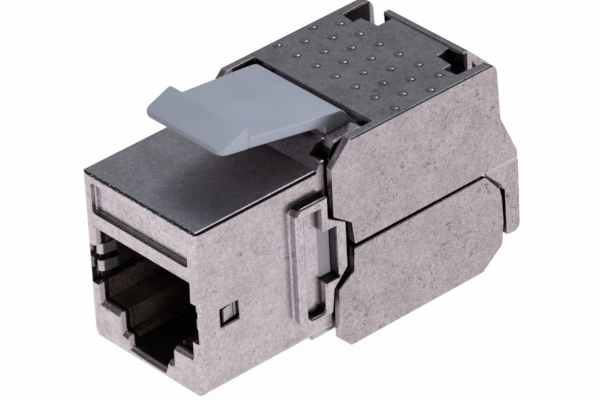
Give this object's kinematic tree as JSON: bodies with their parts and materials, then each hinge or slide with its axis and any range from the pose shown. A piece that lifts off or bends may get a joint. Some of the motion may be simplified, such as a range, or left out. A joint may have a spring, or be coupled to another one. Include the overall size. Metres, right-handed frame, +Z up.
{
  "type": "keystone jack",
  "caption": "Shielded die-cast keystone jack with a stepped plug port, plastic panel latch and two hinged rear covers over the wire terminals.",
  "frame": {"origin": "centre of the plug port's mouth on the front face", "axes": "+Y from the port back towards the cable entry, +Z up towards the panel latch, +X to the right seen from the port"},
  "size_m": [0.0164, 0.0356, 0.0239],
  "materials": {
    "plated_zinc": "satin",
    "grey_plastic": "matte",
    "black_plastic": "satin",
    "white_plastic": "matte",
    "board_laminate": "satin",
    "spring_steel": "satin",
    "gold_contact": "gloss"
  },
  "bodies": {
    "housing": {"front_housing": "plated_zinc", "port_insert": "black_plastic", "contact_spring_1": "gold_contact", "contact_spring_2": "gold_contact", "contact_spring_3": "gold_contact", "contact_spring_4": "gold_contact", "contact_spring_5": "gold_contact", "contact_spring_6": "gold_contact", "contact_spring_7": "gold_contact", "contact_spring_8": "gold_contact", "shield_spring_left": "spring_steel", "shield_spring_right": "spring_steel", "circuit_board": "board_laminate", "terminal_block": "grey_plastic", "upper_terminal_1": "gold_contact", "upper_terminal_2": "gold_contact", "upper_terminal_3": "gold_contact", "upper_terminal_4": "gold_contact", "lower_terminal_1": "gold_contact", "lower_terminal_2": "gold_contact", "lower_terminal_3": "gold_contact", "lower_terminal_4": "gold_contact", "wire_manager": "white_plastic"},
    "latch": {"panel_latch": "grey_plastic"},
    "upper_shell": {"upper_cover": "plated_zinc", "upper_wire_presser": "grey_plastic"},
    "lower_shell": {"lower_cover": "plated_zinc", "lower_wire_presser": "grey_plastic"}
  },
  "joints": [
    {"name": "latch_flex", "type": "hinge", "parent": "housing", "child": "latch", "pos_m": [0, 0.0176, 0.011], "axis": [1, 0, 0], "range_deg": [0, 12], "stiffness_Nm_per_rad": 0.19},
    {"name": "upper_cover_hinge", "type": "hinge", "parent": "housing", "child": "upper_shell", "pos_m": [0, 0.0165, 0.0096], "axis": [1, 0, 0], "range_deg": [0, 45]},
    {"name": "lower_cover_hinge", "type": "hinge", "parent": "housing", "child": "lower_shell", "pos_m": [0, 0.0166, -0.0049], "axis": [-1, 0, 0], "range_deg": [0, 35]}
  ]
}
